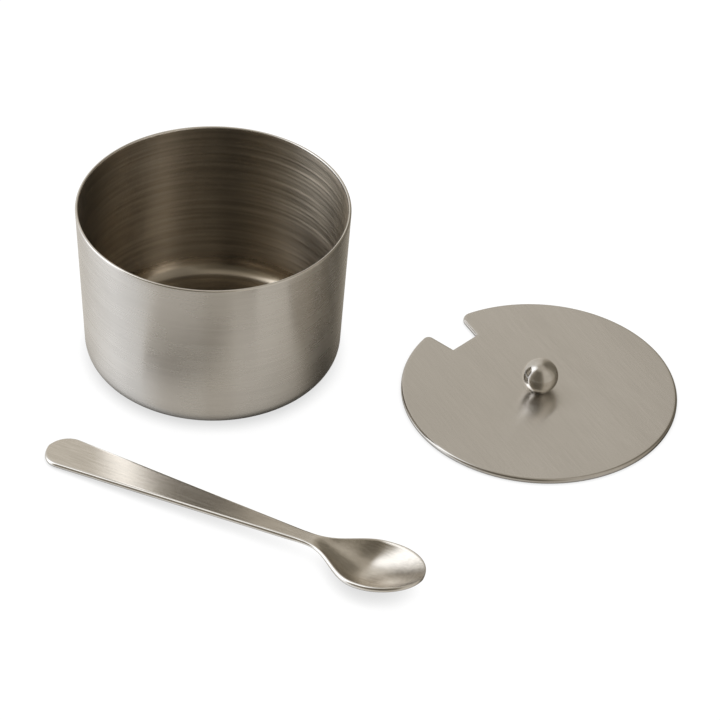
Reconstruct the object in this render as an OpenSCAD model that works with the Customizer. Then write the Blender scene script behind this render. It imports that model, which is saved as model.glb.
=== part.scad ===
// Brushed steel serving pot with a notched lid, a ball knob and a spoon.
// The set is laid out for use: the open pot stands at the origin, the lid lies flat beside it
// and the spoon lies in front. Closed, the lid rests on the pot's rim and the spoon's handle
// comes out through the notch.
// Origin: middle of the pot's base, on the table. +Z is up. Millimetres and degrees.

/* [Pot] */
// Outside diameter of the rim
pot_d = 90; // [70:1:110]
// Height from the table to the top of the rim
pot_h = 59; // [40:1:80]
// Thickness of the sheet
pot_wall = 1; // [0.8:0.1:1.6]
// Lean of the side wall, narrower at the base
pot_draft = 2.5; // [0:0.5:5]
// Outside radius between the side wall and the base
pot_corner_r = 7; // [4:0.5:12]

/* [Lid] */
// How much wider than the pot's rim the lid is, over its diameter
lid_overhang = 1.6; // [0:0.2:4]
// Thickness of the lid plate
lid_t = 2; // [1.8:0.1:3]
// Rounding of the lid's top and bottom edges
lid_edge_r = 0.8; // [0.2:0.1:0.9]
// Distance from the lid's centre to the inner end of the notch, as a share of its radius
notch_reach = 0.742; // [0.6:0.01:0.8]
// Width of the notch at its inner end
notch_w = 11.4; // [9:0.2:14]
// Outward slant of the notch's left side, seen from the lid's centre
notch_flare_left = 3; // [0:1:20]
// Outward slant of the notch's right side
notch_flare_right = 17; // [0:1:20]
// Rounding of the notch's left outer corner
notch_lip_left = 2; // [1:0.2:4]
// Rounding of the notch's right outer corner
notch_lip_right = 3.6; // [1:0.2:4]

/* [Knob] */
// Diameter of the ball
knob_d = 12; // [10:0.5:16]
// Diameter of the small flat that the ball stands on
knob_flat_d = 3.8; // [3.6:0.1:5]

/* [Knob screw] */
// Nominal thread diameter
screw_d = 3; // [2.5:0.5:3]
// Diameter of the countersunk head
screw_head_d = 5.5; // [5:0.1:6]
// How deep the screw's tip goes into the ball
screw_grip = 5; // [4:0.5:6]

/* [Spoon] */
// Whole length
spoon_len = 137.5; // [120:0.5:150]
// Thickness of the handle
handle_t = 1.8; // [1.4:0.1:2.4]
// Width the tapering handle starts from, at its free end
handle_w = 15.2; // [12:0.2:18]
// Narrowest width, at the neck
neck_w = 5.3; // [4:0.1:8]
// Height of the neck's upper face above the table
neck_z = 7.4; // [5:0.1:10]
// Greatest width of the bowl
bowl_w = 23.4; // [20:0.2:28]
// Length from the neck to the tip of the bowl
bowl_len = 43.5; // [38:0.5:48]
// Thickness of the bowl
bowl_t = 1.3; // [1:0.1:1.8]

/* [Layout] */
// Clear space between the pot's rim and the lid's edge
lid_gap = 19.9; // [5:0.1:40]
// Direction of the lid from the pot
lid_bearing = -9.2; // [-30:0.1:30]
// Direction the notch faces
notch_bearing = 136.5; // [0:0.5:360]
// Clear space between the pot's rim and the spoon's centre line
spoon_gap = 27.6; // [15:0.1:50]
// Direction the spoon points, from its handle to its bowl
spoon_bearing = -28.1; // [-60:0.1:0]
// Where the handle's end lies along that direction
spoon_shift = -17.7; // [-60:0.1:20]

/* [Hidden] */
$fn = 96;

steel = "#b3ada3";
bright_steel = "#d2d0cc";
eps = 0.5;                                  // how far a cutting shape runs past a face

pot_r = pot_d / 2;
lid_r = pot_r + lid_overhang / 2;
lid_distance = pot_r + lid_gap + lid_r;
notch_end = notch_reach * lid_r;
lip_steps = 10;                             // segments in the arc of a notch corner
lip_overrun = 0.1;                          // how far that arc runs past the lid's edge
outside_share = 1.2;                        // puts the notch's last points outside the lid

knob_r = knob_d / 2;
knob_centre_z = lid_t + sqrt(knob_r * knob_r - knob_flat_d * knob_flat_d / 4);

screw_r = screw_d / 2;
thread_gap = 0.05;                          // between the screw and the ball's tapped hole
shank_gap = 0.1;                            // between the screw and the hole in the lid
head_recess = 0.1;                          // the head sits this far inside the lid's underside
head_r = screw_head_d / 2;
head_cone_h = head_r - screw_r;             // the head's cone is 90 degrees across
screw_tip_z = lid_t + screw_grip;
slot_w = 0.8;                               // driver slot across the head
slot_depth = 0.7;

end_r = 0.48 * handle_w;                    // length of the handle's round free end
neck_s = spoon_len - bowl_len;              // narrowest place, from the handle's end
shoulder_s = neck_s + 1.5;                  // where the outline starts to widen into the bowl
dish_s = neck_s + 4;                        // where the upper face starts to dip
wide_s = spoon_len - 0.37 * bowl_len;       // widest place of the bowl
thinning_s = neck_s - 6;                    // where the sheet starts to thin towards the bowl
thinning_len = 16;
steep_limit = 1.4;                          // greatest squared slope that thickens the sheet
rim_dip = 1.2;                              // the bowl's rim sags this much between neck and tip
spoon_edge_r = 0.45;
dish_power = 2.3;                           // 2 is a parabola across the bowl, more is flatter

// ---- pot ----

// Half section of a cup-shaped solid: rim radius r at height h, base corner of radius corner_r
module cup_section(r, h, corner_r) {
    slope_x = sin(pot_draft);
    slope_y = cos(pot_draft);
    corner_x = r - (corner_r + (h - corner_r) * slope_x) / slope_y;
    polygon([
        [0, 0],
        [corner_x, 0],
        [corner_x + corner_r * slope_y, corner_r - corner_r * slope_x],
        [r, h],
        [0, h]
    ]);
    translate([corner_x, corner_r])
        circle(corner_r);
}

// Drawn in one piece from sheet, open at the top, with a rounded rim
module pot() {
    rim_w = pot_wall / cos(pot_draft);
    rim_z = pot_h - rim_w / 2;
    rim_r = pot_r - (pot_h - rim_z) * tan(pot_draft);
    inside_h = rim_z - pot_wall + eps;
    color(steel)
        rotate_extrude() {
            difference() {
                cup_section(rim_r, rim_z, pot_corner_r);
                translate([0, pot_wall])
                    cup_section(rim_r - rim_w + eps * tan(pot_draft), inside_h, pot_corner_r - pot_wall);
            }
            translate([rim_r - rim_w / 2, rim_z])
                circle(rim_w / 2);
        }
}

// ---- lid ----

module place_lid() {
    rotate(lid_bearing)
        translate([lid_distance, 0, 0])
            rotate(notch_bearing - lid_bearing)
                children();
}

// Half section of the plate, its outer edge rounded above and below
module plate_section() {
    square([lid_r - lid_edge_r, lid_t]);
    translate([lid_r - 2 * lid_edge_r, lid_edge_r])
        square([2 * lid_edge_r, lid_t - 2 * lid_edge_r]);
    for (z = [lid_edge_r, lid_t - lid_edge_r])
        translate([lid_r - lid_edge_r, z])
            circle(lid_edge_r);
}

// Points along one side of the notch, from its inner end to outside the lid. The side slants
// outward by flare, then turns into an arc that runs out over the lid's edge. side is 1 or -1.
function notch_side(side, flare, lip_r) =
    let (
        corner = [notch_end, notch_w / 2],
        way = [cos(flare), sin(flare)],
        base = corner + lip_r * [-sin(flare), cos(flare)],
        along = base * way,
        reach = lid_r + lip_overrun - lip_r,
        centre = base + way * (sqrt(along * along - base * base + reach * reach) - along),
        first = flare - 90,
        turn = atan2(centre.y, centre.x) - first,
        angles = [for (k = [0 : lip_steps]) first + turn * k / lip_steps],
        arc = [for (a = angles) centre + lip_r * [cos(a), sin(a)]],
        outside = centre * outside_share
    )
    [for (p = concat([corner], arc, [outside])) [p.x, side * p.y]];

function backwards(list) = [for (k = [len(list) - 1 : -1 : 0]) list[k]];

module notch_outline() {
    polygon(concat(
        notch_side(1, notch_flare_left, notch_lip_left),
        backwards(notch_side(-1, notch_flare_right, notch_lip_right))
    ));
}

// Flat round plate with the spoon notch and a countersunk hole for the knob's screw
module lid_plate() {
    sink_r = head_r + head_recess;
    hole_r = screw_r + shank_gap;
    color(steel)
        place_lid()
            difference() {
                rotate_extrude()
                    plate_section();
                translate([0, 0, -eps])
                    linear_extrude(lid_t + 2 * eps)
                        notch_outline();
                translate([0, 0, -eps])
                    cylinder(h = lid_t + 2 * eps, r = hole_r);
                translate([0, 0, -eps])
                    cylinder(h = sink_r + eps - hole_r, r1 = sink_r + eps, r2 = hole_r);
            }
}

// Solid ball on a small flat, with a blind hole for the screw
module knob() {
    color(bright_steel)
        place_lid()
            difference() {
                translate([0, 0, knob_centre_z])
                    sphere(knob_r);
                translate([-knob_r, -knob_r, lid_t - knob_r])
                    cube([knob_d, knob_d, knob_r]);
                translate([0, 0, lid_t - eps])
                    cylinder(h = screw_grip + 2 * eps, r = screw_r + thread_gap);
            }
}

// Countersunk screw that holds the knob from under the lid. The thread is a plain cylinder.
module knob_screw() {
    color(bright_steel)
        place_lid()
            difference() {
                union() {
                    translate([0, 0, head_recess])
                        cylinder(h = head_cone_h, r1 = head_r, r2 = screw_r);
                    translate([0, 0, head_recess])
                        cylinder(h = screw_tip_z - head_recess, r = screw_r);
                }
                translate([-head_r - eps, -slot_w / 2, head_recess - eps])
                    cube([screw_head_d + 2 * eps, slot_w, slot_depth + eps]);
            }
}

// ---- spoon ----
// The spoon is a skin through rings, each ring a cross section at distance s from the
// handle's end. The functions below give the spoon's shape at s.

// Goes smoothly from 0 to 1 as t does, and stays there beyond
function ease(t) =
    let (c = min(max(t, 0), 1))
    c * c * c * (10 + c * (6 * c - 15));

// Half width of the straight, tapering handle
function taper_half(s) = (handle_w + (neck_w - handle_w) * min(s, neck_s) / neck_s) / 2;

// Half width of the outline: round end, tapering handle, egg-shaped bowl
function half_width(s) =
    s < end_r ? taper_half(s) * sqrt(1 - pow(1 - s / end_r, 2)) :
    s < wide_s ? taper_half(s) + (bowl_w - neck_w) / 2 * ease((s - shoulder_s) / (wide_s - shoulder_s)) :
    bowl_w / 2 * sqrt(max(0, 1 - pow((s - wide_s) / (spoon_len - wide_s), 2)));

// Height of the upper face's edge: a straight ramp, sagging along the bowl
function rim_z(s) =
    let (along_bowl = max(0, (s - neck_s) / bowl_len))
    handle_t + (neck_z - handle_t) * s / neck_s - rim_dip * pow(sin(180 * along_bowl), 2);

function thickness(s) = handle_t + (bowl_t - handle_t) * ease((s - thinning_s) / thinning_len);

// Depth of the bowl below its rim, on the centre line. It leaves the handle smoothly and
// rises in a curve to the tip.
deep_s = (dish_s + spoon_len) / 2;
rest_gap = 0.05;                            // keeps the underside from dipping below the table
bowl_depth = rim_z(deep_s) - bowl_t - rest_gap;
function depth(s) =
    let (u = (s - dish_s) / (spoon_len - dish_s))
    u <= 0 ? 0 :
    u < 0.5 ? bowl_depth * (1 - cos(360 * u)) / 2 :
    bowl_depth * (1 - pow(2 * u - 1, 2));

// Upper face at distance s, at share v of the half width, from -1 to 1
function face_z(s, v) = rim_z(s) - depth(s) * (1 - pow(abs(v), dish_power));

// Sheet thickness measured straight down, which grows where the face is steep
function drop(s, v) =
    let (slope = depth(s) * dish_power * pow(abs(v), dish_power - 1) / max(half_width(s), 1))
    thickness(s) * sqrt(1 + min(slope * slope, steep_limit));

across = 8;                                 // steps from the centre line to the edge
function face_shares() = [for (k = [-across : across]) k / across];

// Points that round one edge, from the upper face down to the lower one
function edge_points(s, side) =
    let (
        round_r = min(spoon_edge_r, half_width(s) / 2),
        y = half_width(s) - round_r,
        top = face_z(s, 1),
        low = top - drop(s, 1)
    )
    concat(
        [for (a = [0, 45, 90]) [s, side * (y + round_r * sin(a)), top - round_r * (1 - cos(a))]],
        [for (a = [90, 45, 0]) [s, side * (y + round_r * sin(a)), low + round_r * (1 - cos(a))]]
    );

function ring(s) =
    let (
        inner = half_width(s) - min(spoon_edge_r, half_width(s) / 2),
        shares = [for (v = face_shares()) if (abs(v) < 1) v],
        top = [for (v = shares) [s, v * inner, face_z(s, v)]],
        low = [for (v = shares) [s, v * inner, face_z(s, v) - drop(s, v)]]
    )
    concat(top, edge_points(s, 1), backwards(low), backwards(edge_points(s, -1)));

// Rings are close together at the round ends and where the outline curves
stations = concat(
    [for (a = [6 : 12 : 90]) end_r * (1 - cos(a))],
    [for (k = [1 : 20]) end_r + (neck_s - end_r) * k / 20],
    [for (k = [1 : 18]) neck_s + (wide_s - neck_s) * k / 18],
    [for (a = [10 : 8 : 86]) wide_s + (spoon_len - wide_s) * sin(a)]
);

// Middle of a ring's points
function middle(points) = [for (axis = [0 : 2]) sum([for (p = points) p[axis]]) / len(points)];
function sum(list) = list * [for (x = list) 1];

// Closed solid through a list of rings that all have the same number of points. Each end is
// closed by a fan of triangles round the end ring's middle.
module skin(rings) {
    count = len(rings[0]);
    last = len(rings) - 1;
    first_middle = count * len(rings);
    last_middle = first_middle + 1;
    sides = [
        for (i = [0 : last - 1], k = [0 : count - 1])
            let (here = i * count, there = here + count, next = (k + 1) % count)
            each [
                [here + k, there + next, there + k],
                [here + k, here + next, there + next]
            ]
    ];
    first_cap = [for (k = [0 : count - 1]) [first_middle, (k + 1) % count, k]];
    last_cap = [for (k = [0 : count - 1]) [last_middle, last * count + k, last * count + (k + 1) % count]];
    polyhedron(
        points = [for (r = rings) each r, middle(rings[0]), middle(rings[last])],
        faces = concat(sides, first_cap, last_cap)
    );
}

// Stamped in one piece, lying with its bowl and its handle's end on the table
module spoon() {
    color(steel)
        rotate(spoon_bearing)
            translate([spoon_shift, -pot_r - spoon_gap, 0])
                skin([for (s = stations) ring(s)]);
}

pot();
lid_plate();
knob();
knob_screw();
spoon();
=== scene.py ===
"""Brushed steel serving pot with a notched lid, a ball knob and a spoon.

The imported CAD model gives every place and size. This script puts finely curved pieces of
satin and polished steel in place of its solids, on a white floor in soft studio light.
Metres, with the origin in the middle of the pot's base and +Z up.
"""

import math

import bpy
from mathutils import Matrix, Vector
from mathutils.geometry import tessellate_polygon


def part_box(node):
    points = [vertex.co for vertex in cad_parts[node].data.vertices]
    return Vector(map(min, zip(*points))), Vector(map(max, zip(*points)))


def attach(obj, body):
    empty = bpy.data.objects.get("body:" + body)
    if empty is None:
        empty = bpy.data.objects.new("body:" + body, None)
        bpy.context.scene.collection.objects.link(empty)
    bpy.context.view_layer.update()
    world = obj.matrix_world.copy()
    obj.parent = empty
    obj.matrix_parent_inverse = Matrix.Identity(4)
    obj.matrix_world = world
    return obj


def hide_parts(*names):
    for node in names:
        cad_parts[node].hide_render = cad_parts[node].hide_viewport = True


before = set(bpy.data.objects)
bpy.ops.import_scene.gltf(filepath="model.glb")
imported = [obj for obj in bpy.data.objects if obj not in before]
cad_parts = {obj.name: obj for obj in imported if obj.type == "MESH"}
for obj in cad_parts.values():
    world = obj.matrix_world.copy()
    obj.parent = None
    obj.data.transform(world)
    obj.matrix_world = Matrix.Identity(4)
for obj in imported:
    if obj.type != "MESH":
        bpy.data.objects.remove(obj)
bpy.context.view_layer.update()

MM = 0.001


# ---- sizes that the CAD boxes don't give ----

POT_WALL = 1.0 * MM
POT_DRAFT = math.radians(2.5)
POT_CORNER_R = 7.0 * MM

LID_EDGE_R = 0.8 * MM
LID_BRUSHING = math.radians(120)     # bearing of the lid's brush lines
NOTCH_BEARING = math.radians(136.5)
NOTCH_REACH = 0.742                  # from the lid's centre to the notch's inner end, in lid radii
NOTCH_W = 11.4 * MM
NOTCH_FLARE = (math.radians(3), math.radians(17))
NOTCH_LIP_R = (2.0 * MM, 3.6 * MM)

SCREW_HOLE_R = 1.6 * MM
SCREW_SINK_R = 2.85 * MM             # at the lid's underside, where the 90 degree countersink is widest

KNOB_FLAT_R = 1.9 * MM

SPOON_BEARING = math.radians(-28.1)
SPOON_LEN = 137.5 * MM
HANDLE_T = 1.8 * MM
HANDLE_W = 15.2 * MM
NECK_W = 5.3 * MM
NECK_Z = 7.4 * MM
BOWL_W = 23.4 * MM
BOWL_LEN = 43.5 * MM
BOWL_T = 1.3 * MM
RIM_DIP = 1.2 * MM                   # how far the bowl's rim sags below a straight line
SPOON_EDGE_R = 0.85 * MM


# ---- how finely the pieces are divided ----

POT_SEGMENTS = 256
POT_CORNER_STEPS = 20
POT_RIM_STEPS = 12
POT_BASE_STEP = 5 * MM
POT_OUTER_STEP = 2 * MM
POT_INNER_STEP = 0.2 * MM            # fine enough for the spun rings
POT_FLOOR_STEP = 1 * MM

LID_STEPS = 300
LID_EDGE_STEPS = 8
LID_SUPPORT = 0.6 * MM               # flat ring next to the rounded edge, which keeps its shading clean
NOTCH_STEP = 0.5 * MM
NOTCH_LIP_STEPS = 16
HOLE_SEGMENTS = 48

KNOB_SEGMENTS = 128
KNOB_STEPS = 72

SPOON_ACROSS = 20
SPOON_EDGE_STEPS = 6
HANDLE_STEPS = 80
NECK_TO_BOWL_STEPS = 60


# ---- mesh helpers ----

def make_piece(name, points, faces, body, node, materials, face_slots=None, flat=()):
    """Makes a mesh piece that stands for a CAD node and rides on a body. face_slots gives each
    face's material, and flat holds the numbers of the faces that aren't shaded smooth."""
    mesh = bpy.data.meshes.new(name)
    mesh.from_pydata(points, [], faces)
    for material in materials:
        mesh.materials.append(material)
    for polygon in mesh.polygons:
        polygon.use_smooth = polygon.index not in flat
        if face_slots:
            polygon.material_index = face_slots[polygon.index]
    mesh.validate()
    mesh.update()
    piece = bpy.data.objects.new(name, mesh)
    bpy.context.scene.collection.objects.link(piece)
    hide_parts(node)
    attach(piece, body)
    return piece


def arc(centre, radius, first, last, steps):
    """Points on an arc, with both ends, from angle first to angle last in radians."""
    angles = [first + (last - first) * k / steps for k in range(steps + 1)]
    return [(centre[0] + radius * math.cos(a), centre[1] + radius * math.sin(a)) for a in angles]


def straight(start, end, step):
    """Points between start and end, without them, about step apart."""
    count = max(1, round(math.dist(start, end) / step))
    return [
        (start[0] + (end[0] - start[0]) * k / count, start[1] + (end[1] - start[1]) * k / count)
        for k in range(1, count)
    ]


def revolve(profile, segments, shift=None):
    """Points and faces of a profile of (radius, height) turned round +Z, and for each face the
    number of the profile point before it. The profile's first and last points are on the axis.
    shift, if given, is how far out a point moves, from its radius, height and angle."""
    rim = profile[1:-1]
    points = [(0, 0, profile[0][1])]
    for r, z in rim:
        for k in range(segments):
            turn = 2 * math.pi * k / segments
            out = r + shift(r, z, turn) if shift else r
            points.append((out * math.cos(turn), out * math.sin(turn), z))
    points.append((0, 0, profile[-1][1]))
    last = len(points) - 1
    top = 1 + (len(rim) - 1) * segments
    faces = []
    rows = []
    for k in range(segments):
        following = (k + 1) % segments
        faces.append((0, 1 + following, 1 + k))
        rows.append(0)
        faces.append((last, top + k, top + following))
        rows.append(len(rim))
    for i in range(len(rim) - 1):
        low = 1 + i * segments
        high = low + segments
        for k in range(segments):
            following = (k + 1) % segments
            faces.append((low + k, low + following, high + following, high + k))
            rows.append(i + 1)
    return points, faces, rows


def skin(rings, start=0):
    """Faces between rings that all have the same number of points, numbered on from start."""
    count = len(rings[0])
    faces = []
    for i in range(len(rings) - 1):
        here = start + i * count
        there = here + count
        for k in range(count):
            following = (k + 1) % count
            faces.append((here + k, here + following, there + following, there + k))
    return faces


def loft(rings):
    """Points and faces of a closed skin through rings. The first and last face are its ends."""
    count = len(rings[0])
    points = [p for ring in rings for p in ring]
    near_end = tuple(range(count - 1, -1, -1))
    far_end = tuple(range(len(points) - count, len(points)))
    return points, [near_end, *skin(rings), far_end]


def flat_face(points, loops, facing):
    """Triangles of a level face between an outline and a hole, given as lists of point numbers.
    facing is 1 for a face that looks up and -1 for one that looks down."""
    numbers = [i for loop in loops for i in loop]
    faces = []
    for triangle in tessellate_polygon([[points[i] for i in loop] for loop in loops]):
        a, b, c = (numbers[k] for k in triangle)
        up = (points[b] - points[a]).cross(points[c] - points[a]).z
        faces.append((a, b, c) if up * facing > 0 else (a, c, b))
    return faces


# ---- node helpers ----

def add(tree, kind, inputs=None, **settings):
    """Adds a node, sets its properties and fills its inputs with values or other outputs."""
    made = tree.nodes.new(kind)
    for name, value in settings.items():
        setattr(made, name, value)
    for key, value in (inputs or {}).items():
        if isinstance(value, bpy.types.NodeSocket):
            tree.links.new(value, made.inputs[key])
        else:
            made.inputs[key].default_value = value
    return made


def calc(tree, operation, first, second=0.0):
    """Output of a Math node."""
    return add(tree, "ShaderNodeMath", {0: first, 1: second}, operation=operation).outputs[0]


def product(tree, first, *others):
    """All the values multiplied together."""
    for other in others:
        first = calc(tree, "MULTIPLY", first, other)
    return first


def remap(tree, value, low, high, to_low, to_high):
    """value from low..high mapped to to_low..to_high, with no overshoot."""
    inputs = {"Value": value, "From Min": low, "From Max": high, "To Min": to_low, "To Max": to_high}
    return add(tree, "ShaderNodeMapRange", inputs).outputs["Result"]


def noise(tree, vector, detail, roughness=0.5, scale=1.0):
    """Output of a Noise node, from 0 to 1 and mostly near 0.5."""
    inputs = {"Vector": vector, "Scale": scale, "Detail": detail, "Roughness": roughness}
    return add(tree, "ShaderNodeTexNoise", inputs).outputs["Fac"]


def vary(tree, value, amount, middle=1.0, spread=0.2):
    """A noise value turned into middle plus or minus amount, which it reaches at 0.5 plus or
    minus spread."""
    return remap(tree, value, 0.5 - spread, 0.5 + spread, middle - amount, middle + amount)


def ramp(tree, value, stops, interpolation="EASE"):
    """Output of a Color Ramp through (position, colour) stops."""
    made = add(tree, "ShaderNodeValToRGB", {"Fac": value})
    elements = made.color_ramp.elements
    made.color_ramp.interpolation = interpolation
    elements[0].position, elements[0].color = stops[0][0], (*stops[0][1], 1)
    elements[1].position, elements[1].color = stops[-1][0], (*stops[-1][1], 1)
    for position, colour in stops[1:-1]:
        elements.new(position).color = (*colour, 1)
    return made.outputs["Color"]


def grey(brightness):
    return (brightness, brightness, brightness)


def vector_math(tree, operation, inputs, output=0):
    """Output of a Vector Math node."""
    return add(tree, "ShaderNodeVectorMath", inputs, operation=operation).outputs[output]


def parts(tree, vector):
    """The x, y and z of a vector."""
    return add(tree, "ShaderNodeSeparateXYZ", {0: vector}).outputs


def turned(tree, vector, angle):
    """vector turned by angle about +Z."""
    inputs = {"Vector": vector, "Angle": angle}
    return add(tree, "ShaderNodeVectorRotate", inputs, rotation_type="Z_AXIS").outputs[0]


def mix_colours(tree, factor, first, second):
    """Output of a colour Mix node, whose colour sockets come after its float and vector ones."""
    return add(tree, "ShaderNodeMix", {0: factor, 6: first, 7: second}, data_type="RGBA").outputs[2]


def new_material(name):
    """A material with no nodes yet."""
    material = bpy.data.materials.new(name)
    material.use_nodes = True
    material.node_tree.nodes.clear()
    return material, material.node_tree


def object_point(tree):
    """The shaded point in the frame's own coordinates, in metres."""
    return add(tree, "ShaderNodeTexCoord").outputs["Object"]


def line_point(tree, point, along, across, bearing=0.0):
    """A point for straight lines at a bearing: slow along the lines, fast across them."""
    lined_up = turned(tree, point, -bearing)
    return vector_math(tree, "MULTIPLY", {0: lined_up, 1: (along, across, across)})


def ring_point(tree, point, around, across):
    """A point for rings round the +Z axis: slow round the axis, fast along the pot's section."""
    x, y, z = parts(tree, point)
    squares = calc(tree, "ADD", calc(tree, "MULTIPLY", x, x), calc(tree, "MULTIPLY", y, y))
    radius = calc(tree, "SQRT", squares)
    section = calc(tree, "SUBTRACT", z, radius)
    inputs = {
        "X": product(tree, calc(tree, "DIVIDE", x, radius), around),
        "Y": product(tree, calc(tree, "DIVIDE", y, radius), around),
        "Z": product(tree, section, across),
    }
    return add(tree, "ShaderNodeCombineXYZ", inputs).outputs[0]


# ---- steel ----

STEEL = (0.635, 0.62, 0.60)
LID_STEEL = (0.695, 0.68, 0.66)
# Painted shade: the pot's inside is coloured darker and browner than the same steel outside
INSIDE_SHADED_STEEL = (0.51, 0.46, 0.39)
SPOON_STEEL = (0.73, 0.70, 0.655)
KNOB_STEEL = (0.68, 0.665, 0.645)
PALE_STEEL = (0.76, 0.745, 0.725)

BRUSHED = 0.9                        # anisotropy: highlights spread across the brushing
EDGE_ROUGHNESS = 0.14
RIM_ROUGHNESS = 0.16
KNOB_ROUGHNESS = 0.16
SCREW_ROUGHNESS = 0.28

# Painted reflections on the pot's inside, as broad upright bands of brightness: how far along x in mm, and
# how bright
INSIDE_REFLECTION_BANDS = ((-45, 0.56), (-26, 0.70), (-12, 0.46), (0, 0.66), (34, 1.42), (45, 1.42))
INSIDE_HALF = 45
INSIDE_FLOOR_ROUGHNESS = 0.16
INSIDE_WALL_ROUGHNESS = 0.40


def finish_steel(tree, base, roughness, anisotropy=0.0, tangent=None):
    """Adds the metal and the material's output. Highlights spread along tangent."""
    inputs = {"Base Color": base, "Metallic": 1.0, "Roughness": roughness, "Anisotropic": anisotropy}
    if tangent is not None:
        inputs["Tangent"] = tangent
    surface = add(tree, "ShaderNodeBsdfPrincipled", inputs)
    add(tree, "ShaderNodeOutputMaterial", {"Surface": surface.outputs[0]})


def worn_steel(tree, scratches, smudges, colour, roughness, contrast, anisotropy=0.0, tangent=None):
    """Steel with fine scratches, as strong as contrast says, and broad smudges, both from noise."""
    tone = product(tree, vary(tree, scratches, contrast), vary(tree, smudges, 0.035, middle=0.995))
    rough = calc(tree, "ADD", vary(tree, scratches, contrast / 3, middle=0.0), roughness)
    rough = calc(tree, "ADD", vary(tree, smudges, 0.02, middle=0.0), rough)
    base = vector_math(tree, "SCALE", {0: colour, "Scale": tone})
    finish_steel(tree, base, rough, anisotropy, tangent)


def upright_tangent(tree, point):
    """Direction across the pot's brushing: up the wall, and outward on the floor."""
    return vector_math(tree, "ADD", {0: point, 1: (0, 0, 50 * MM)})


def pot_steel():
    """Satin steel brushed round the pot, so that its reflections spread up and down."""
    material, tree = new_material("pot_satin_steel")
    point = object_point(tree)
    scratches = noise(tree, ring_point(tree, point, around=1.6, across=1000.0), detail=1.0, roughness=0.6)
    smudges = noise(tree, ring_point(tree, point, around=2.5, across=90.0), detail=2.0, roughness=0.6)
    worn_steel(
        tree, scratches, smudges, STEEL,
        roughness=0.27, contrast=0.034, anisotropy=BRUSHED, tangent=upright_tangent(tree, point),
    )
    return material


def inside_steel():
    """The pot's inside: rough rings from spinning on the wall, and a smoother, shinier floor. Its colour
    has painted shade, painted reflections in broad upright bands brightest toward +X, and painted light
    near the floor."""
    material, tree = new_material("pot_inside_steel")
    point = object_point(tree)
    lines = noise(tree, ring_point(tree, point, around=1.2, across=800.0), detail=1.0)
    patches = noise(tree, ring_point(tree, point, around=2.5, across=30.0), detail=2.0)
    x, _, height = parts(tree, point)

    along_x = remap(tree, x, -INSIDE_HALF * MM, INSIDE_HALF * MM, 0, 1)
    stops = [((x_mm / INSIDE_HALF + 1) / 2, grey(tone)) for x_mm, tone in INSIDE_REFLECTION_BANDS]
    tone = product(
        tree,
        vary(tree, lines, 0.11, spread=0.15),
        vary(tree, patches, 0.05),
        # painted reflections: broad upright bands of brightness along x
        ramp(tree, along_x, stops),
        # painted light: brighter toward the floor, dimmer up the wall
        remap(tree, height, 2 * MM, 50 * MM, 1.25, 0.95),
    )
    # painted shade: the inside's darker, browner colour
    base = vector_math(tree, "SCALE", {0: INSIDE_SHADED_STEEL, "Scale": tone})

    wall_rough = calc(
        tree,
        "ADD",
        vary(tree, lines, 0.04, middle=INSIDE_WALL_ROUGHNESS, spread=0.15),
        vary(tree, patches, 0.03, middle=0.0),
    )
    on_wall = remap(tree, height, 5 * MM, 9 * MM, 0, 1)
    rougher = product(tree, calc(tree, "SUBTRACT", wall_rough, INSIDE_FLOOR_ROUGHNESS), on_wall)
    rough = calc(tree, "ADD", rougher, INSIDE_FLOOR_ROUGHNESS)
    finish_steel(tree, base, rough, BRUSHED, upright_tangent(tree, point))
    return material


def linear_steel(name, colour, bearing, roughness, contrast):
    """Satin steel brushed along one bearing, which wanders a little. It is smoother for rays that
    come off other steel, so that pieces show up more clearly in each other."""
    material, tree = new_material(name)
    point = object_point(tree)
    scratches = noise(tree, line_point(tree, point, along=90, across=1500, bearing=bearing), detail=1.0)
    smudges = noise(tree, line_point(tree, point, along=8, across=60, bearing=bearing), detail=1.0)
    wander = vary(tree, noise(tree, point, detail=1.0, scale=22.0), 0.09, middle=0.0)
    across = add(
        tree, "ShaderNodeCombineXYZ", {"X": -math.sin(bearing), "Y": math.cos(bearing), "Z": 0}
    ).outputs[0]
    glossy = add(tree, "ShaderNodeLightPath").outputs["Is Glossy Ray"]
    worn_steel(
        tree, scratches, smudges, colour,
        roughness=remap(tree, glossy, 0, 1, roughness, roughness / 2), contrast=contrast,
        anisotropy=BRUSHED, tangent=turned(tree, across, wander),
    )
    return material


def polished_steel(name, colour, roughness):
    """Polished steel with hairline scratches and faint unevenness."""
    material, tree = new_material(name)
    point = object_point(tree)
    hairlines = vector_math(tree, "MULTIPLY", {0: point, 1: (400, 400, 1500)})
    scratches = noise(tree, hairlines, detail=1.5)
    smudges = noise(tree, line_point(tree, point, along=120, across=120), detail=1.0)
    worn_steel(tree, scratches, smudges, colour, roughness, contrast=0.03)
    return material


# ---- pot ----

# Length and height in mm, and phase, of each wave in the rings on the inner wall
RIPPLE_WAVES = ((2.75, 0.036, 0.3), (3.7, 0.020, 4.0), (1.6, 0.038, 1.9), (1.05, 0.010, 2.6))
# Waves per turn, size and phase of how the rings wander up and down round the pot
RIPPLE_WANDER = ((1, 0.25, 0.7), (2, 0.15, 2.1))
RIPPLE_LEAST = 0.25                  # share of their full depth that the rings keep all round
RIPPLE_DEEPEST = 0.4                 # bearing where they are deepest, in radians
RIPPLE_FADE = 4 * MM                 # height over which they fade in and out
RIPPLE_TOP_GAP = 1.5 * MM
RIPPLE_LOW_GAP = 1 * MM


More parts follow.
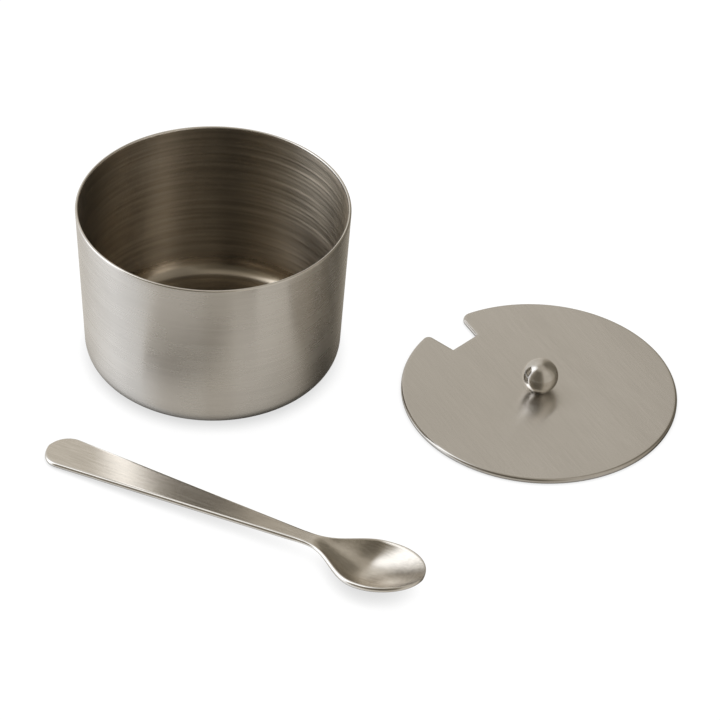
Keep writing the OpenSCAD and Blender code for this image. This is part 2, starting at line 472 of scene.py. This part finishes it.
def spun_ripple(height, turn):
    """Shallow, uneven rings that spinning left on the inner wall, as a distance outward. They
    wander up and down round the pot, and are deeper on the +X side."""
    wander = sum(size * math.sin(times * turn + phase) for times, size, phase in RIPPLE_WANDER)
    depth_share = RIPPLE_LEAST + (1 - RIPPLE_LEAST) * max(0, math.cos(turn - RIPPLE_DEEPEST))
    return depth_share * MM * sum(
        size * math.sin(2 * math.pi * height / (length * MM) + phase + wander)
        for length, size, phase in RIPPLE_WAVES
    )


def build_pot():
    """Cup with a rounded corner at its base, a leaning wall, a round rim and a rippled inside."""
    low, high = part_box("pot")
    outer_r = (high.x - low.x) / 2
    rim_w = POT_WALL / math.cos(POT_DRAFT)
    rim_z = high.z - rim_w / 2

    def wall_x(z):
        """Radius of the outer wall at height z."""
        return outer_r - (high.z - z) * math.tan(POT_DRAFT)

    corner_x = wall_x(0) - POT_CORNER_R * (1 - math.sin(POT_DRAFT)) / math.cos(POT_DRAFT)
    corner = (corner_x, POT_CORNER_R)
    outer_corner = arc(corner, POT_CORNER_R, -math.pi / 2, -POT_DRAFT, POT_CORNER_STEPS)
    inner_corner = arc(corner, POT_CORNER_R - POT_WALL, -POT_DRAFT, -math.pi / 2, POT_CORNER_STEPS)
    rim = arc((wall_x(rim_z) - rim_w / 2, rim_z), rim_w / 2, 0, math.pi, POT_RIM_STEPS)
    outside = [
        (0, 0),
        *straight((0, 0), outer_corner[0], POT_BASE_STEP),
        *outer_corner,
        *straight(outer_corner[-1], rim[0], POT_OUTER_STEP),
    ]
    inside = [
        *straight(rim[-1], inner_corner[0], POT_INNER_STEP),
        *inner_corner,
        *straight(inner_corner[-1], (0, POT_WALL), POT_FLOOR_STEP),
        (0, POT_WALL),
    ]

    ripple_top = rim_z - RIPPLE_TOP_GAP
    ripple_low = POT_CORNER_R + RIPPLE_LOW_GAP

    def shift(r, z, turn):
        """The ripple, on the inner wall only and faded out at its top and bottom."""
        on_inner_side = r < wall_x(z) - rim_w / 2
        if not on_inner_side or z < ripple_low or z > ripple_top:
            return 0.0
        fade = min(1.0, (ripple_top - z) / RIPPLE_FADE, (z - ripple_low) / RIPPLE_FADE)
        return fade * spun_ripple(z, turn)

    points, faces, rows = revolve(outside + rim + inside, POT_SEGMENTS, shift)
    rim_first = len(outside)
    rim_last = rim_first + len(rim) - 1
    slots = [0 if row < rim_first else 1 if row < rim_last else 2 for row in rows]
    return make_piece(
        "pot_shell", points, faces, "pot_body", "pot",
        [
            pot_steel(),
            polished_steel("pot_rim_polish", PALE_STEEL, RIM_ROUGHNESS),
            inside_steel(),
        ],
        slots,
    )


# ---- lid ----

def notch_side(side, flare, lip_r, lid_r):
    """Points from the notch's inner end out to the lid's rim, along one side, as in the CAD."""
    corner = Vector((NOTCH_REACH * lid_r, NOTCH_W / 2))
    way = Vector((math.cos(flare), math.sin(flare)))
    base = corner + lip_r * Vector((-math.sin(flare), math.cos(flare)))
    reach = lid_r - lip_r
    along = base.dot(way)
    centre = base + way * (math.sqrt(along**2 - base.dot(base) + reach**2) - along)
    first = flare - math.pi / 2
    last = math.atan2(centre.y, centre.x)
    lip = arc(centre, lip_r, first, last, NOTCH_LIP_STEPS)
    side_points = [tuple(corner), *straight(corner, lip[0], NOTCH_STEP), *lip]
    return [(x, side * y) for x, y in side_points]


def lid_outline(lid_r):
    """Outline of the plate, counter-clockwise, with its notch facing +X."""
    left = notch_side(1, NOTCH_FLARE[0], NOTCH_LIP_R[0], lid_r)
    right = notch_side(-1, NOTCH_FLARE[1], NOTCH_LIP_R[1], lid_r)
    start = math.atan2(left[-1][1], left[-1][0])
    end = 2 * math.pi + math.atan2(right[-1][1], right[-1][0])
    rim = arc((0, 0), lid_r, start, end, LID_STEPS)
    inner_end = straight(right[0], left[0], NOTCH_STEP)
    return rim[1:-1] + right[::-1] + inner_end + left


def inward(outline, distance):
    """The outline moved into the plate by distance, point by point."""
    moved = []
    count = len(outline)
    for k, here in enumerate(outline):
        before = Vector(outline[k - 1])
        after = Vector(outline[(k + 1) % count])
        here = Vector(here)
        first = (here - before).normalized()
        second = (after - here).normalized()
        normal = Vector((-first.y - second.y, first.x + second.x))
        normal = normal.normalized() / max(0.5, math.sqrt((1 + first.dot(second)) / 2))
        moved.append(here + normal * distance)
    return moved


def lid_rings(outline, low, high):
    """The outline at each height of the plate's rounded edge, with a flat ring at both ends."""
    centre = (low + high) / 2
    section = [(LID_EDGE_R + LID_SUPPORT, low.z)]
    for middle_z, first in ((low.z + LID_EDGE_R, -math.pi / 2), (high.z - LID_EDGE_R, 0)):
        for out, z in arc((0, middle_z), LID_EDGE_R, first, first + math.pi / 2, LID_EDGE_STEPS):
            section.append((LID_EDGE_R - out, z))
    section.append((LID_EDGE_R + LID_SUPPORT, high.z))
    turn = Matrix.Rotation(NOTCH_BEARING, 3, "Z")
    rings = []
    for inset, z in section:
        ring = [Vector((p.x, p.y, 0)) for p in inward(outline, inset)]
        rings.append([turn @ p + Vector((centre.x, centre.y, z)) for p in ring])
    return rings


def screw_hole_rings(low, high):
    """Circles of the screw's hole and its countersink, from the underside up."""
    centre = (low + high) / 2
    sink_top_z = low.z + SCREW_SINK_R - SCREW_HOLE_R
    rings = []
    for radius, z in ((SCREW_SINK_R, low.z), (SCREW_HOLE_R, sink_top_z), (SCREW_HOLE_R, high.z)):
        circle = arc((centre.x, centre.y), radius, 2 * math.pi, 0, HOLE_SEGMENTS)[:-1]
        rings.append([Vector((x, y, z)) for x, y in circle])
    return rings


def build_lid():
    """Flat plate with a rounded edge, a notch for the spoon and a hole for the knob's screw."""
    low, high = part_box("lid_plate")
    outline = lid_outline((high.x - low.x) / 2)
    count = len(outline)
    rings = lid_rings(outline, low, high)
    hole_rings = screw_hole_rings(low, high)
    points = [p for ring in rings + hole_rings for p in ring]
    hole_start = count * len(rings)
    low_loops = [range(count), range(hole_start, hole_start + HOLE_SEGMENTS)]
    high_loops = [range(hole_start - count, hole_start), range(len(points) - HOLE_SEGMENTS, len(points))]
    sides = skin(rings)
    level = flat_face(points, low_loops, -1) + flat_face(points, high_loops, 1)
    faces = sides + skin(hole_rings, hole_start) + level
    edge = range(count, len(sides) - count)
    return make_piece(
        "lid_disc", points, faces, "lid", "lid_plate",
        [
            linear_steel("lid_satin_steel", LID_STEEL, LID_BRUSHING, roughness=0.25, contrast=0.022),
            polished_steel("lid_edge_polish", STEEL, EDGE_ROUGHNESS),
        ],
        [1 if index in edge else 0 for index in range(len(faces))],
        flat=range(len(faces) - len(level), len(faces)),
    )


def build_knob():
    """Ball that stands on the lid on a small flat."""
    low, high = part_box("knob")
    centre = (low + high) / 2
    radius = (high.x - low.x) / 2
    middle_z = high.z - radius
    first = -math.acos(KNOB_FLAT_R / radius)
    profile = [(0, low.z), *arc((0, middle_z), radius, first, math.pi / 2, KNOB_STEPS)]
    profile[-1] = (0, high.z)
    points, faces, _ = revolve(profile, KNOB_SEGMENTS)
    points = [(x + centre.x, y + centre.y, z) for x, y, z in points]
    return make_piece(
        "knob_ball", points, faces, "lid", "knob",
        [polished_steel("knob_polished_steel", KNOB_STEEL, KNOB_ROUGHNESS)],
    )


def finish_screw():
    """The knob's screw keeps its CAD solid, in turned steel."""
    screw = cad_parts["knob_screw"]
    screw.data.materials.clear()
    screw.data.materials.append(polished_steel("screw_turned_steel", STEEL, SCREW_ROUGHNESS))


# ---- spoon, whose shape is the CAD's: s runs along it from the handle's end, v across it ----

END_R = 0.48 * HANDLE_W
NECK_S = SPOON_LEN - BOWL_LEN
SHOULDER_S = NECK_S + 1.5 * MM
DISH_S = NECK_S + 4 * MM
WIDE_S = SPOON_LEN - 0.37 * BOWL_LEN
DISH_POWER = 2.3
THIN_S = NECK_S - 6 * MM             # where the sheet starts to thin toward the bowl
THIN_LEN = 16 * MM
BOWL_CLEARANCE = 0.05 * MM           # between the bowl's underside and the floor
EDGE_SHARE = 0.48                    # of the thickness there, the most that an edge's rounding takes
SLOPE_LIMIT = 1.4                    # on the squared slope of the dish, where it thickens the sheet


def ease(t):
    """0 to 1 with a smooth start and end, as t goes from 0 to 1."""
    c = min(max(t, 0), 1)
    return c**3 * (10 + c * (6 * c - 15))


def taper_half(s):
    """Half width of the handle's straight taper, which stays as narrow as the neck after it."""
    return (HANDLE_W + (NECK_W - HANDLE_W) * min(s, NECK_S) / NECK_S) / 2


def half_width(s):
    """Half width of the spoon: a rounded end, the taper, and an egg-shaped bowl."""
    if s < END_R:
        return taper_half(s) * math.sqrt(1 - (1 - s / END_R) ** 2)
    if s < WIDE_S:
        return taper_half(s) + (BOWL_W - NECK_W) / 2 * ease((s - SHOULDER_S) / (WIDE_S - SHOULDER_S))
    return BOWL_W / 2 * math.sqrt(max(0, 1 - ((s - WIDE_S) / (SPOON_LEN - WIDE_S)) ** 2))


def rim_z(s):
    """Height of the spoon's upper edge."""
    along_bowl = max(0, (s - NECK_S) / BOWL_LEN)
    return HANDLE_T + (NECK_Z - HANDLE_T) * s / NECK_S - RIM_DIP * math.sin(math.pi * along_bowl) ** 2


def thickness(s):
    """Thickness, which eases from the handle's to the bowl's around the neck."""
    return HANDLE_T + (BOWL_T - HANDLE_T) * ease((s - THIN_S) / THIN_LEN)


BOWL_DEPTH = rim_z((DISH_S + SPOON_LEN) / 2) - BOWL_T - BOWL_CLEARANCE


def depth(s):
    """Depth of the dish along its middle line."""
    u = (s - DISH_S) / (SPOON_LEN - DISH_S)
    if u <= 0:
        return 0.0
    if u < 0.5:
        return BOWL_DEPTH * (1 - math.cos(2 * math.pi * u)) / 2
    return BOWL_DEPTH * (1 - (2 * u - 1) ** 2)


def face_z(s, v):
    """Height of the upper face at v, which is -1 and 1 at the edges."""
    return rim_z(s) - depth(s) * (1 - abs(v) ** DISH_POWER)


def drop(s, v):
    """How far the lower face is below the upper one. It is more where the dish is steep."""
    slope = depth(s) * DISH_POWER * abs(v) ** (DISH_POWER - 1) / max(half_width(s), 1 * MM)
    return thickness(s) * math.sqrt(1 + min(slope**2, SLOPE_LIMIT))


def spoon_ring(s):
    """Cross section at s: upper face, one rounded edge, lower face, the other edge."""
    half = half_width(s)
    round_r = min(SPOON_EDGE_R, half / 2, EDGE_SHARE * drop(s, 1))
    inner = half - round_r
    shares = [k / SPOON_ACROSS for k in range(-SPOON_ACROSS + 1, SPOON_ACROSS)]
    top = [(s, v * inner, face_z(s, v)) for v in shares]
    low = [(s, v * inner, face_z(s, v) - drop(s, v)) for v in shares]
    high_z = face_z(s, 1)
    low_z = high_z - drop(s, 1)
    bends = [math.pi / 2 * k / SPOON_EDGE_STEPS for k in range(SPOON_EDGE_STEPS + 1)]
    edge = [(inner + round_r * math.sin(a), high_z - round_r * (1 - math.cos(a))) for a in bends]
    edge += [(inner + round_r * math.sin(a), low_z + round_r * (1 - math.cos(a))) for a in bends[::-1]]
    right = [(s, y, z) for y, z in edge]
    left = [(s, -y, z) for y, z in edge[::-1]]
    return top + right + low[::-1] + left


def spoon_stations():
    """Places along the spoon for its cross sections, closer together at its round ends."""
    stations = [END_R * (1 - math.cos(math.radians(a))) for a in range(2, 91, 4)]
    stations += [END_R + (NECK_S - END_R) * k / HANDLE_STEPS for k in range(1, HANDLE_STEPS + 1)]
    stations += [
        NECK_S + (WIDE_S - NECK_S) * k / NECK_TO_BOWL_STEPS for k in range(1, NECK_TO_BOWL_STEPS + 1)
    ]
    stations += [WIDE_S + (SPOON_LEN - WIDE_S) * math.sin(math.radians(a)) for a in range(3, 89, 3)]
    return stations


def build_spoon():
    """Spoon stamped in one piece, with satin faces and a polished edge."""
    low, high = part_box("spoon")
    rings = [spoon_ring(s) for s in spoon_stations()]
    turn = Matrix.Rotation(SPOON_BEARING, 3, "Z")
    rings = [[turn @ Vector(p) for p in ring] for ring in rings]
    points, faces = loft(rings)
    near = Vector((min(p.x for p in points), min(p.y for p in points), 0))
    far = Vector((max(p.x for p in points), max(p.y for p in points), 0))
    move = (low + high) / 2 - (near + far) / 2
    move.z = 0
    points = [p + move for p in points]
    count = len(rings[0])
    top_count = 2 * SPOON_ACROSS - 1
    edge_count = 2 * (SPOON_EDGE_STEPS + 1)
    slots = []
    for index in range(len(faces)):
        place = (index - 1) % count
        on_right = top_count <= place < top_count + edge_count - 1
        on_left = place >= 2 * top_count + edge_count
        slots.append(1 if on_right or on_left else 0)
    return make_piece(
        "spoon_blank", points, faces, "spoon_body", "spoon",
        [
            linear_steel("spoon_satin_steel", SPOON_STEEL, SPOON_BEARING, roughness=0.22, contrast=0.06),
            polished_steel("spoon_edge_polish", PALE_STEEL, EDGE_ROUGHNESS),
        ],
        slots,
    )


# ---- studio ----

# Brightness that the steel sees toward each direction, in degrees counter-clockwise from +X:
# on the floor, and in the room above it
BELOW = (
    (0, 0.43), (13, 0.17), (24, 0.08), (34, 0.065), (46, 0.11), (60, 0.28), (80, 0.52), (100, 0.70),
    (138, 0.72), (155, 0.86), (179, 0.95), (190, 0.95), (201, 0.94), (215, 0.76), (229, 0.63), (243, 0.62),
    (259, 0.60), (271, 0.53), (285, 0.54), (300, 0.60), (325, 0.61), (338, 0.55), (349, 0.54), (360, 0.43),
)
ABOVE = (
    (0, 0.34), (20, 0.18), (40, 0.14), (60, 0.17), (75, 0.34), (88, 0.54), (100, 0.60), (118, 0.66),
    (138, 0.68), (148, 0.88), (159, 1.4), (168, 1.7), (186, 1.7), (195, 1.25), (203, 0.42), (212, 0.20),
    (240, 0.12), (262, 0.12), (275, 0.16), (287, 0.27), (297, 0.47), (330, 0.50), (360, 0.34),
)
CEILING = 0.42

# Heights of the direction, from -1 straight down to 1 straight up, between which the floor's
# brightness gives way to the room's, and the room's to the ceiling's
ROOM_RISE = (-0.5, -0.12)
CEILING_RISE = (0.84, 0.98)

DEEPER_GAIN = 0.35                   # extra strength of bright areas in reflections of reflections


def warm(brightness):
    """Grey that turns brown as it gets darker."""
    share = max(0.0, min(1.0, 1 - brightness))
    return (brightness * (1 + 0.18 * share), brightness, brightness * (1 - 0.29 * share))


def azimuth_stops(table):
    """Color Ramp stops for a table of directions and brightnesses."""
    return [(degrees / 360, warm(brightness)) for degrees, brightness in table]


def studio_group():
    """Node group with what the steel sees of the studio, for the direction of the ray."""
    tree = bpy.data.node_groups.new("studio_reflection", "ShaderNodeTree")
    tree.interface.new_socket("Color", in_out="OUTPUT", socket_type="NodeSocketColor")
    incoming = add(tree, "ShaderNodeNewGeometry").outputs["Incoming"]
    x, y, z = parts(tree, vector_math(tree, "SCALE", {0: incoming, "Scale": -1.0}))
    azimuth = calc(tree, "ARCTAN2", y, x)
    share = calc(tree, "FRACT", calc(tree, "DIVIDE", azimuth, 2 * math.pi))
    below = ramp(tree, share, azimuth_stops(BELOW))
    above = ramp(tree, share, azimuth_stops(ABOVE))
    around = mix_colours(tree, remap(tree, z, *ROOM_RISE, 0, 1), below, above)
    seen = mix_colours(tree, remap(tree, z, *CEILING_RISE, 0, 1), around, (*warm(CEILING), 1))

    # reflections of reflections get more contrast, so that pieces show up well in each other
    gain = vector_math(tree, "MULTIPLY_ADD", {0: seen, 1: grey(DEEPER_GAIN), 2: grey(1.0)})
    stronger = vector_math(tree, "MULTIPLY", {0: seen, 1: gain})
    bounces = add(tree, "ShaderNodeLightPath").outputs["Glossy Depth"]
    result = mix_colours(tree, remap(tree, bounces, 1, 2, 0, 1), seen, stronger)
    add(tree, "NodeGroupOutput", {0: result})
    return tree


def build_world(group):
    """White to the camera and to the floor, and the studio to the steel."""
    world = bpy.data.worlds.new("studio")
    bpy.context.scene.world = world
    world.use_nodes = True
    tree = world.node_tree
    tree.nodes.clear()
    is_glossy = add(tree, "ShaderNodeLightPath").outputs["Is Glossy Ray"]
    seen = add(tree, "ShaderNodeGroup", node_tree=group).outputs[0]
    studio_light = add(tree, "ShaderNodeBackground", {"Color": seen, "Strength": 1.0}).outputs[0]
    white = add(tree, "ShaderNodeBackground", {"Color": (1, 1, 1, 1), "Strength": 1.0}).outputs[0]
    mixed = add(tree, "ShaderNodeMixShader", {0: is_glossy, 1: white, 2: studio_light})
    add(tree, "ShaderNodeOutputWorld", {"Surface": mixed.outputs[0]})


FLOOR_HALF = 4.0
FLOOR_DARK = grey(0.93)
FLOOR_LIGHT = grey(0.95)
FLOOR_DIFFUSE = grey(0.10)
CONTACT_REACH = 7 * MM               # of the soft shadow that the camera sees under each piece
REFLECTED_REACH = 9 * MM             # of the darker one that the steel sees there
POT_SHADOW_R = (46 * MM, 74 * MM)    # from the pot's axis, where its shadow in the steel fades out
POT_SHADOW_X = (5 * MM, 35 * MM)     # along x, where that shadow fades in, away from the window
POT_SHADOW = 0.34


def openness(tree, reach):
    """1 for a point in the open, and less the more of its surroundings within reach are filled."""
    return add(tree, "ShaderNodeAmbientOcclusion", {"Distance": reach}, samples=8).outputs["AO"]


def white_floor(group):
    """Faintly mottled white with soft contact shadows. The steel sees it as the studio group
    says, darker where something stands close and on the pot's shadow side."""
    material, tree = new_material("white_floor")
    point = object_point(tree)
    mottle = noise(tree, point, detail=3.0, scale=40.0)
    colour = ramp(tree, mottle, ((0.3, FLOOR_DARK), (0.7, FLOOR_LIGHT)), "LINEAR")
    shade = remap(tree, openness(tree, CONTACT_REACH), 0.25, 0.8, 0.74, 1.0)
    lit = add(tree, "ShaderNodeBsdfDiffuse", {"Color": (*FLOOR_DIFFUSE, 1)}).outputs[0]
    bright = add(tree, "ShaderNodeEmission", {"Color": colour, "Strength": shade}).outputs[0]
    paper = add(tree, "ShaderNodeAddShader", {0: lit, 1: bright}).outputs[0]

    from_pot = vector_math(tree, "LENGTH", {0: point}, "Value")
    pot_shadow = product(
        tree,
        remap(tree, from_pot, *POT_SHADOW_R, POT_SHADOW, 0),
        remap(tree, parts(tree, point)["X"], *POT_SHADOW_X, 0, 1),
    )
    strength = product(
        tree,
        remap(tree, openness(tree, REFLECTED_REACH), 0.3, 0.95, 0.05, 1.0),
        calc(tree, "SUBTRACT", 1.0, pot_shadow),
    )
    seen = add(tree, "ShaderNodeGroup", node_tree=group).outputs[0]
    glow = add(tree, "ShaderNodeEmission", {"Color": seen, "Strength": strength}).outputs[0]
    is_glossy = add(tree, "ShaderNodeLightPath").outputs["Is Glossy Ray"]
    mixed = add(tree, "ShaderNodeMixShader", {0: is_glossy, 1: paper, 2: glow})
    add(tree, "ShaderNodeOutputMaterial", {"Surface": mixed.outputs[0]})
    return material


def build_floor(group):
    """Large square under everything."""
    mesh = bpy.data.meshes.new("floor")
    corners = [(x * FLOOR_HALF, y * FLOOR_HALF, 0) for x, y in ((-1, -1), (1, -1), (1, 1), (-1, 1))]
    mesh.from_pydata(corners, [], [(0, 1, 2, 3)])
    mesh.materials.append(white_floor(group))
    floor = bpy.data.objects.new("floor", mesh)
    bpy.context.scene.collection.objects.link(floor)


def area_light(name, place, size, power):
    """Soft light aimed at the middle of the object, unseen in the steel."""
    data = bpy.data.lights.new(name, "AREA")
    data.size = size
    data.energy = power
    light = bpy.data.objects.new(name, data)
    bpy.context.scene.collection.objects.link(light)
    light.location = place
    light.rotation_mode = "QUATERNION"
    light.rotation_quaternion = (-Vector(place)).to_track_quat("-Z", "Y")
    light.visible_glossy = False


CAMERA_PLACE = (0.04958, -0.93046, 0.75705)
CAMERA_DOWN = math.radians(39.248)
CAMERA_ROLL = math.radians(2.2575)
SENSOR_MM = 36
LENS_MM = 178.7


def build_camera():
    """Camera at the photo's viewing angle, looking along +Y and down."""
    data = bpy.data.cameras.new("camera")
    data.sensor_width = SENSOR_MM
    data.lens = LENS_MM
    camera = bpy.data.objects.new("camera", data)
    bpy.context.scene.collection.objects.link(camera)
    pitch = Matrix.Rotation(math.pi / 2 - CAMERA_DOWN, 4, "X")
    roll = Matrix.Rotation(CAMERA_ROLL, 4, "Z")
    camera.matrix_world = Matrix.Translation(CAMERA_PLACE) @ pitch @ roll
    bpy.context.scene.camera = camera


build_pot()
build_lid()
build_knob()
finish_screw()
build_spoon()
studio = studio_group()
build_world(studio)
build_floor(studio)
area_light("key", (-0.9, 0.7, 1.0), size=0.9, power=6.0)
build_camera()
bpy.context.scene.view_settings.view_transform = "Standard"
